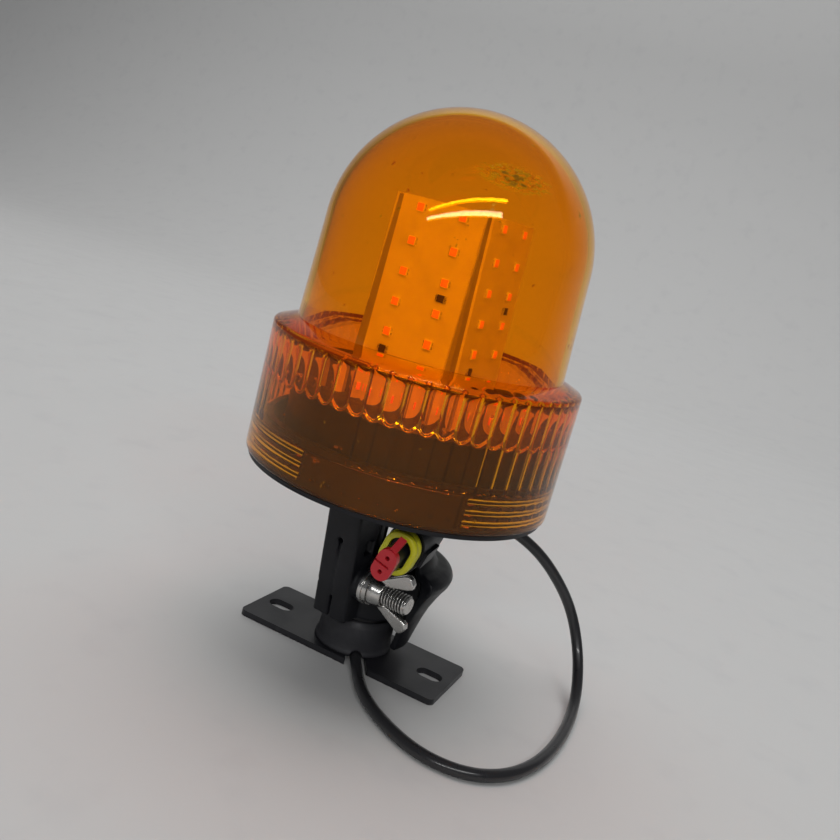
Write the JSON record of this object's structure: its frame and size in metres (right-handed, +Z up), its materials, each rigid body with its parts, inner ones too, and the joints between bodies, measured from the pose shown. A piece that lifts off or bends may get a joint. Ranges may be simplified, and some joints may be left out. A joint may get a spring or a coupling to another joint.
{
  "type": "led warning beacon",
  "caption": "Amber LED warning beacon: ribbed domed lens on a black base, split clamp with wing nut, slotted mounting plate, and a cable with a sealed plug.",
  "frame": {"origin": "centre of the mounting plate's underside, on the lens axis", "axes": "+Z up along the lens axis, +X along the plate's length, -Y towards the plate's front edge with the cable notch"},
  "size_m": [0.1535, 0.12, 0.215],
  "materials": {
    "black_powder_coat": "satin black powder coat",
    "black_moulding": "finely textured black glass-filled nylon",
    "black_rubber": "matt black rubber",
    "cable_jacket": "satin black cable jacket",
    "amber_lens": "clear amber polycarbonate",
    "white_solder_mask": "white solder mask",
    "led_package": "amber phosphor in a white package",
    "green_circuit_board": "green solder mask",
    "component_black": "moulded epoxy",
    "capacitor_sleeve": "shrunk plastic sleeve",
    "dull_aluminium": "mill finish extrusion",
    "bright_zinc": "bright zinc plate",
    "tinned_contact": "tinned brass",
    "yellow_green_silicone": "translucent silicone",
    "red_lock": "moulded nylon"
  },
  "bodies": {
    "mount": {"mounting_plate": "black_powder_coat", "spigot_tube": "black_powder_coat", "weld_bead": "black_powder_coat", "boot": "black_rubber", "inner_cable": "cable_jacket", "cable_floor": "cable_jacket"},
    "lens": {"lens": "amber_lens"},
    "washers": {"flat_washer": "bright_zinc", "spring_washer": "bright_zinc"},
    "nut": {"wing_nut": "bright_zinc"},
    "lock": {"connector_lock": "red_lock"},
    "head": {"cable_riser": "cable_jacket", "base_housing": "black_moulding", "base_gasket": "black_rubber", "drum_cover": "black_moulding", "cable_grommet": "black_rubber", "clamp_socket": "black_moulding", "cable_guard": "black_moulding", "clamp_screws": "bright_zinc", "board_screws": "bright_zinc", "drum_screws": "bright_zinc", "clamp_bolt": "bright_zinc", "driver_board": "green_circuit_board", "inductor": "component_black", "capacitors": "capacitor_sleeve", "driver_chips": "component_black", "led_column": "dull_aluminium", "board_resistors": "component_black", "supply_wires": "cable_jacket", "tower_wires": "cable_jacket", "connector_housing": "black_moulding", "connector_seal": "yellow_green_silicone", "connector_terminals": "tinned_contact", "wire_seals": "yellow_green_silicone", "connector_boot": "black_rubber", "led_board_front": "white_solder_mask", "leds_front": "led_package", "led_board_right": "white_solder_mask", "leds_right": "led_package", "led_board_back": "white_solder_mask", "leds_back": "led_package", "led_board_left": "white_solder_mask", "leds_left": "led_package"}
  },
  "joints": [
    {"name": "head_swivel", "type": "hinge", "parent": "mount", "child": "head", "pos_m": [0, 0, 0], "axis": [0, 0, 1], "range_deg": [-30, 30]},
    {"name": "lens_twist", "type": "hinge", "parent": "head", "child": "lens", "pos_m": [0, 0, 0.08], "axis": [0, 0, 1], "range_deg": [0, 58]},
    {"name": "washer_slide", "type": "slide", "parent": "head", "child": "washers", "axis": [0.9925, -0.1219, 0], "range_m": [0, 0.0038]},
    {"name": "nut_spin", "type": "hinge", "parent": "washers", "child": "nut", "pos_m": [-0.00234, -0.01906, 0.036], "axis": [0.9925, -0.1219, 0], "range_deg": [0, 1080]},
    {"name": "lock_slide", "type": "slide", "parent": "head", "child": "lock", "axis": [0, -0.9925, -0.1219], "range_m": [0, 0.0015]}
  ],
  "couplings": [
    {"joint": "washer_slide", "follows": "nut_spin", "m_per_rad": 0.00019894}
  ]
}
